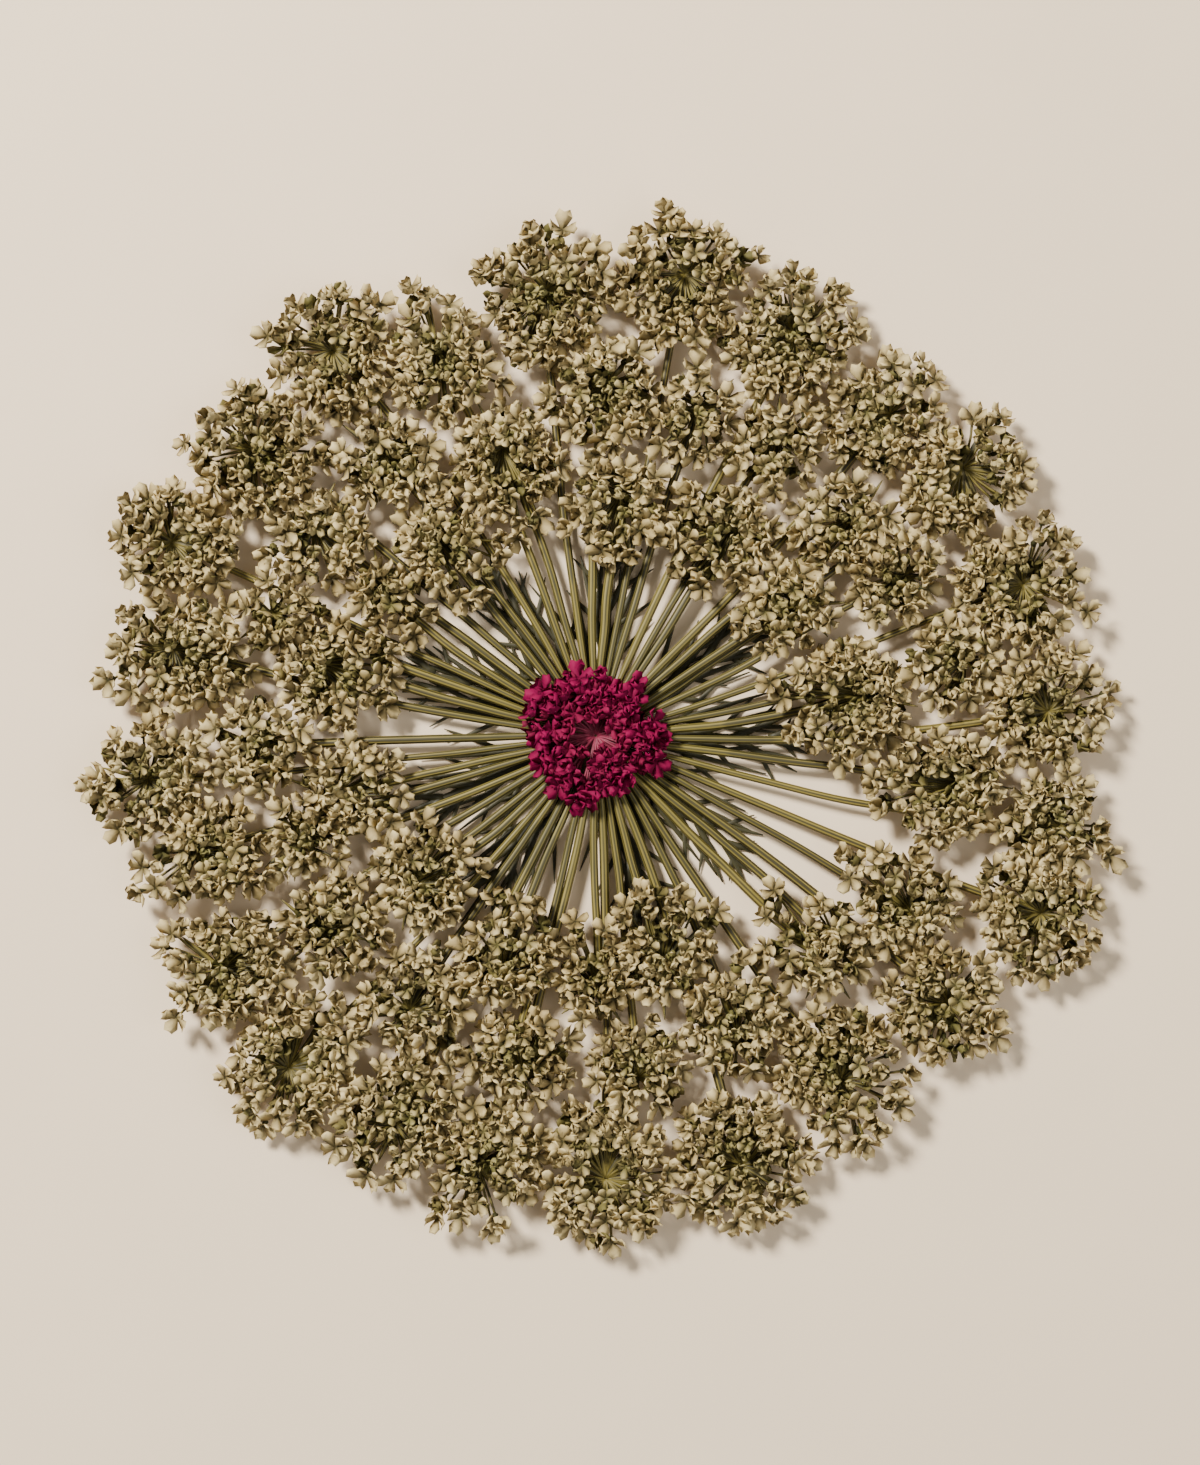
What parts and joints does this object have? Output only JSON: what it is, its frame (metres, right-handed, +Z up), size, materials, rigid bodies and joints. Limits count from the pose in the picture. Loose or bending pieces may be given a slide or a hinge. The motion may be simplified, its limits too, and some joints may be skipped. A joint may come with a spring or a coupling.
{
  "type": "pressed queen annes lace flower head",
  "caption": "Flat pressed flower head for craft or display: a dark crimson centre, thin radiating stalks and clusters of tiny dried cream florets, lying face up.",
  "frame": {"origin": "the middle of the hub's flat back, on the surface that the head lies on", "axes": "+Z up, out of the face of the flower; +Y towards the top of the flower as it is seen in its picture; +X to the right"},
  "size_m": [0.0835, 0.0845, 0.0037],
  "materials": {
    "cream_floret": "dry and matt, tan to cream with olive bases",
    "olive_stalk": "dry, faintly satin, olive to straw, ribbed along its length",
    "crimson_floret": "dry and matt, dyed dark crimson to magenta"
  },
  "bodies": {
    "root": {"umbellet_01": "cream_floret", "umbellet_02": "cream_floret", "umbellet_03": "cream_floret", "umbellet_04": "cream_floret", "umbellet_05": "cream_floret", "umbellet_06": "cream_floret", "umbellet_07": "cream_floret", "umbellet_08": "cream_floret", "umbellet_09": "cream_floret", "umbellet_10": "cream_floret", "umbellet_11": "cream_floret", "umbellet_12": "cream_floret", "umbellet_13": "cream_floret", "umbellet_14": "cream_floret", "umbellet_15": "cream_floret", "umbellet_16": "cream_floret", "umbellet_17": "cream_floret", "umbellet_18": "cream_floret", "umbellet_19": "cream_floret", "umbellet_20": "cream_floret", "umbellet_21": "cream_floret", "umbellet_22": "cream_floret", "umbellet_23": "cream_floret", "umbellet_24": "cream_floret", "umbellet_25": "cream_floret", "umbellet_26": "cream_floret", "umbellet_27": "cream_floret", "umbellet_28": "cream_floret", "umbellet_29": "cream_floret", "umbellet_30": "cream_floret", "umbellet_31": "cream_floret", "umbellet_32": "cream_floret", "umbellet_33": "cream_floret", "umbellet_34": "cream_floret", "umbellet_35": "cream_floret", "umbellet_36": "cream_floret", "umbellet_37": "cream_floret", "umbellet_38": "cream_floret", "umbellet_39": "cream_floret", "umbellet_40": "cream_floret", "umbellet_41": "cream_floret", "umbellet_42": "cream_floret", "umbellet_43": "cream_floret", "umbellet_44": "cream_floret", "umbellet_45": "cream_floret", "umbellet_46": "cream_floret", "umbellet_47": "cream_floret", "umbellet_48": "cream_floret", "umbellet_49": "cream_floret", "umbellet_50": "cream_floret", "umbellet_51": "cream_floret", "umbellet_52": "cream_floret", "umbellet_53": "cream_floret", "umbellet_54": "cream_floret", "umbellet_55": "cream_floret", "umbellet_56": "cream_floret", "umbellet_57": "cream_floret", "crimson_umbellet": "crimson_floret", "hub_rays": "olive_stalk"}
  },
  "joints": []
}
